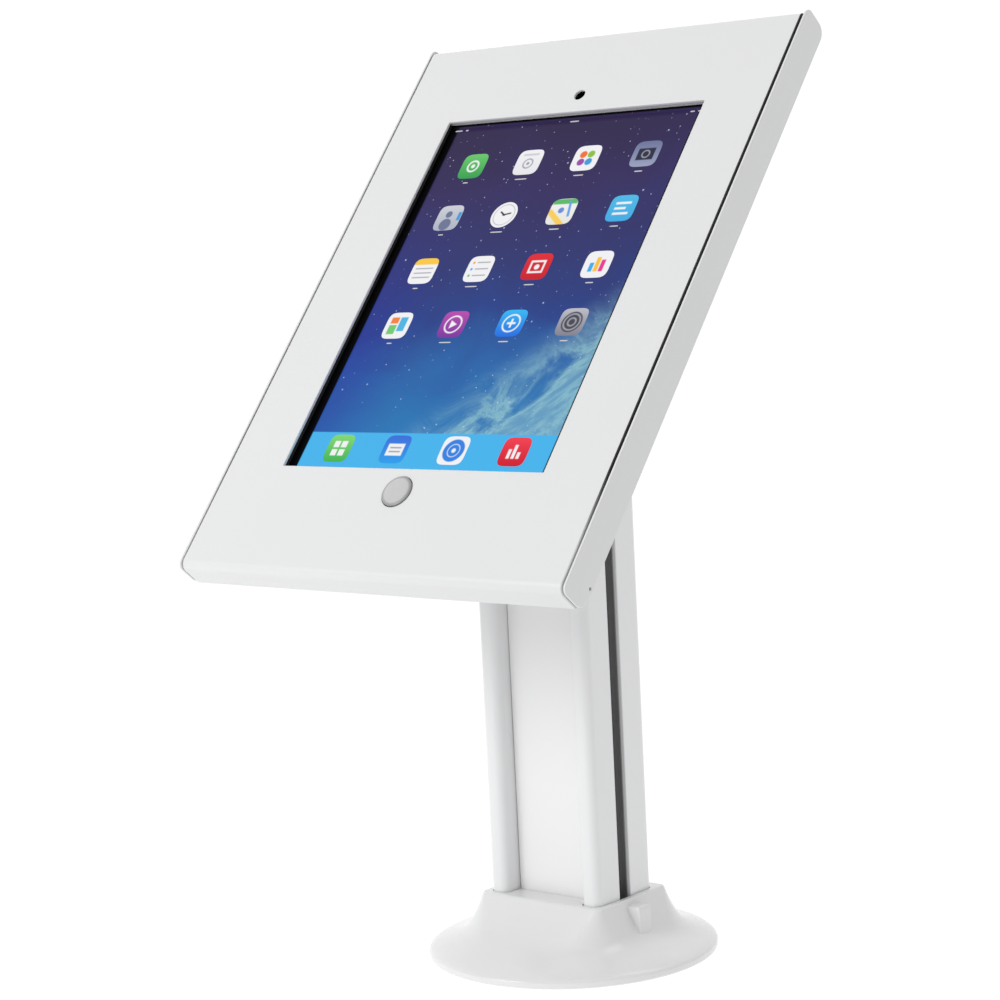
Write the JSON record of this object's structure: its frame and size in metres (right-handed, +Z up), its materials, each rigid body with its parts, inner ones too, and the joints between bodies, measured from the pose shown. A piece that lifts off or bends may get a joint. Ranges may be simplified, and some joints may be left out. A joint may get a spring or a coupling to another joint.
{
  "type": "tablet kiosk",
  "caption": "Lockable countertop tablet kiosk: hinged steel front panel over a touchscreen tablet, tilted on a slotted aluminium post with a round foot cover.",
  "frame": {"origin": "centre of the foot's underside, on the counter, below the post's centre line", "axes": "+Z up, +X to the right of a person facing the screen, -Y towards that person"},
  "size_m": [0.218, 0.2025, 0.4228],
  "materials": {
    "white_steel": "white powder coat, satin",
    "white_aluminium": "white coated extrusion, satin",
    "white_plastic": "white moulded plastic, glossy",
    "cradle_plastic": "white moulded plastic, matt",
    "button_cover": "light grey plastic, satin",
    "zinc": "zinc plated",
    "steel": "bare steel",
    "chrome": "polished",
    "brass": "machined",
    "black_foam": "closed-cell foam",
    "pale_foam": "closed-cell foam",
    "rubber": "moulded rubber",
    "tablet_aluminium": "anodised",
    "cover_glass": "polished glass with a black border",
    "display": "lit screen",
    "black_plastic": "polished",
    "battery": "wrapped pouch",
    "circuit_board": "solder-masked board"
  },
  "bodies": {
    "stand": {"rear_case": "white_steel", "case_hinge_leaf": "zinc", "hinge_pin": "steel", "lock_barrel": "chrome", "lock_nut": "zinc", "tablet_shell": "tablet_aluminium", "tablet_glass": "cover_glass", "tablet_display": "display", "tablet_camera": "black_plastic", "tablet_battery": "battery", "tablet_circuit_board": "circuit_board", "tablet_cradle": "cradle_plastic", "back_pad": "black_foam", "post": "white_aluminium", "front_strip": "white_plastic", "rear_strip": "white_plastic", "head_bracket": "steel", "case_screw_1": "zinc", "case_screw_2": "zinc", "case_screw_3": "zinc", "case_screw_4": "zinc", "spigot_screw_left": "zinc", "spigot_screw_right": "zinc", "base_plate": "steel", "foot_pad": "rubber", "post_screw_1": "zinc", "post_screw_2": "zinc", "post_screw_3": "zinc", "post_screw_4": "zinc"},
    "front_panel": {"front_panel": "white_steel", "foam_left": "black_foam", "foam_right": "black_foam", "foam_top": "pale_foam", "foam_bottom_left": "black_foam", "foam_bottom_right": "black_foam", "lock_striker": "zinc", "button_guide_ring": "black_foam", "panel_hinge_leaf": "zinc"},
    "home_button_cover": {"home_button_cover": "button_cover"},
    "tablet_home_button": {"tablet_home_button": "black_plastic"},
    "sleep_button": {"sleep_button": "tablet_aluminium"},
    "volume_up_button": {"volume_up_button": "tablet_aluminium"},
    "volume_down_button": {"volume_down_button": "tablet_aluminium"},
    "lock_cylinder": {"lock_plug": "brass", "lock_cam": "zinc", "cam_screw": "zinc"},
    "base_cover": {"base_cover": "white_plastic"}
  },
  "joints": [
    {"name": "panel_hinge", "type": "hinge", "parent": "stand", "child": "front_panel", "pos_m": [0, -0.12057, 0.18593], "axis": [1, 0, 0], "range_deg": [0, 110]},
    {"name": "home_cover_press", "type": "slide", "parent": "front_panel", "child": "home_button_cover", "axis": [0, 0.7694, -0.6388], "range_m": [0, 0.0009], "stiffness_N_per_m": 400, "springref_m": -0.001},
    {"name": "tablet_home_press", "type": "slide", "parent": "stand", "child": "tablet_home_button", "axis": [0, 0.7694, -0.6388], "range_m": [0, 0.0005], "stiffness_N_per_m": 200, "springref_m": -0.0005},
    {"name": "sleep_press", "type": "slide", "parent": "stand", "child": "sleep_button", "axis": [0, -0.6388, -0.7694], "range_m": [0, 0.0004], "stiffness_N_per_m": 300, "springref_m": -0.0005},
    {"name": "volume_up_press", "type": "slide", "parent": "stand", "child": "volume_up_button", "axis": [-1, 0, 0], "range_m": [0, 0.0004], "stiffness_N_per_m": 300, "springref_m": -0.0005},
    {"name": "volume_down_press", "type": "slide", "parent": "stand", "child": "volume_down_button", "axis": [-1, 0, 0], "range_m": [0, 0.0004], "stiffness_N_per_m": 300, "springref_m": -0.0005},
    {"name": "lock_turn", "type": "hinge", "parent": "stand", "child": "lock_cylinder", "pos_m": [0, 0.05875, 0.40787], "axis": [0, -0.7694, 0.6388], "range_deg": [0, 90]},
    {"name": "base_cover_slide", "type": "slide", "parent": "stand", "child": "base_cover", "axis": [0, 0, 1], "range_m": [0, 0.16]}
  ],
  "couplings": [
    {"joint": "tablet_home_press", "follows": "home_cover_press", "ratio": 0.5}
  ]
}
